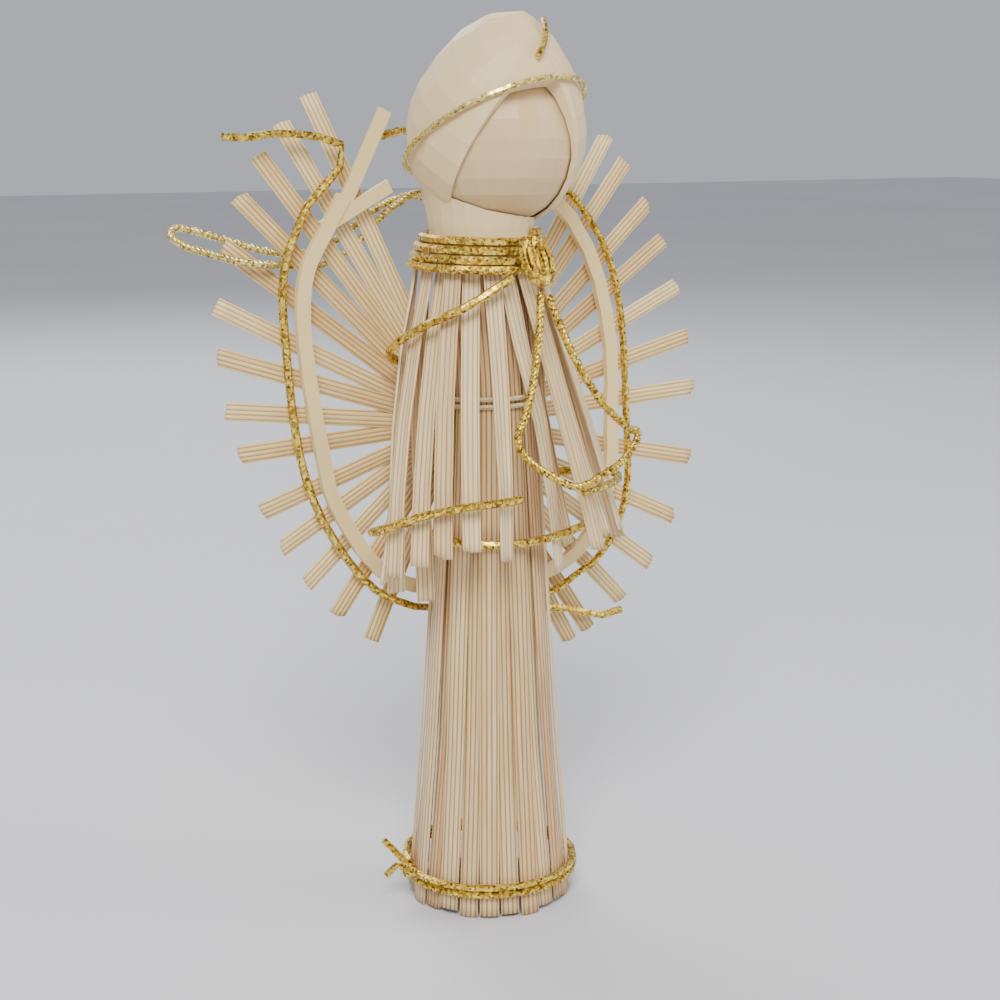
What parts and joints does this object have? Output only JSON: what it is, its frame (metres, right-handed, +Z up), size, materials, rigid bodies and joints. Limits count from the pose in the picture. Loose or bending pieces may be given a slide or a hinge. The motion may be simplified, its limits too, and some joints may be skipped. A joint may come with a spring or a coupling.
{
  "type": "straw angel ornament",
  "caption": "Standing angel of split straw with a wooden ball head, fanned straw wings, open sleeves, gold cord ties and a cord loop to hang it by.",
  "frame": {"origin": "on the floor under the middle of the outline, leaving out the two loose cords", "axes": "+Z up the figure, the face and the sleeves look along -Y, +X to the side of the figure that is on the right when seen from the front; the wings stand across X at the back"},
  "size_m": [0.0976, 0.0372, 0.1444],
  "materials": {
    "straw": "split natural straw, ribbed along its length, satin",
    "hair_straw": "fine straw fibre combed over the ball, silky",
    "wooden_ball": "smooth varnished ball with a painted face",
    "gold_cord": "twisted metallic gold cord, glittering",
    "pale_cord": "fine braided pale gold elastic cord",
    "thread": "undyed cotton thread, matt"
  },
  "bodies": {
    "root": {"skirt": "straw", "waist_thread": "thread", "hip_cord": "gold_cord", "hem_cord": "gold_cord", "sleeve_left_1": "straw", "sleeve_left_2": "straw", "sleeve_left_3": "straw", "sleeve_left_4": "straw", "sleeve_left_5": "straw", "sleeve_left_6": "straw", "sleeve_left_7": "straw", "sleeve_left_8": "straw", "sleeve_right_1": "straw", "sleeve_right_2": "straw", "sleeve_right_3": "straw", "sleeve_right_4": "straw", "sleeve_right_5": "straw", "sleeve_right_6": "straw", "sleeve_right_7": "straw", "sleeve_right_8": "straw", "cuff_cord_left": "gold_cord", "cuff_cord_right": "gold_cord", "shoulder_cord": "gold_cord", "head": "wooden_ball", "hair": "hair_straw", "headband": "pale_cord", "crown_tie": "gold_cord", "neck_binding": "gold_cord", "neck_bow": "gold_cord", "wing_left": "straw", "wing_right": "straw", "wing_braid": "straw", "wing_cord_left": "gold_cord", "wing_cord_right": "gold_cord", "draped_cord": "gold_cord", "hanging_loop": "pale_cord"}
  },
  "joints": []
}
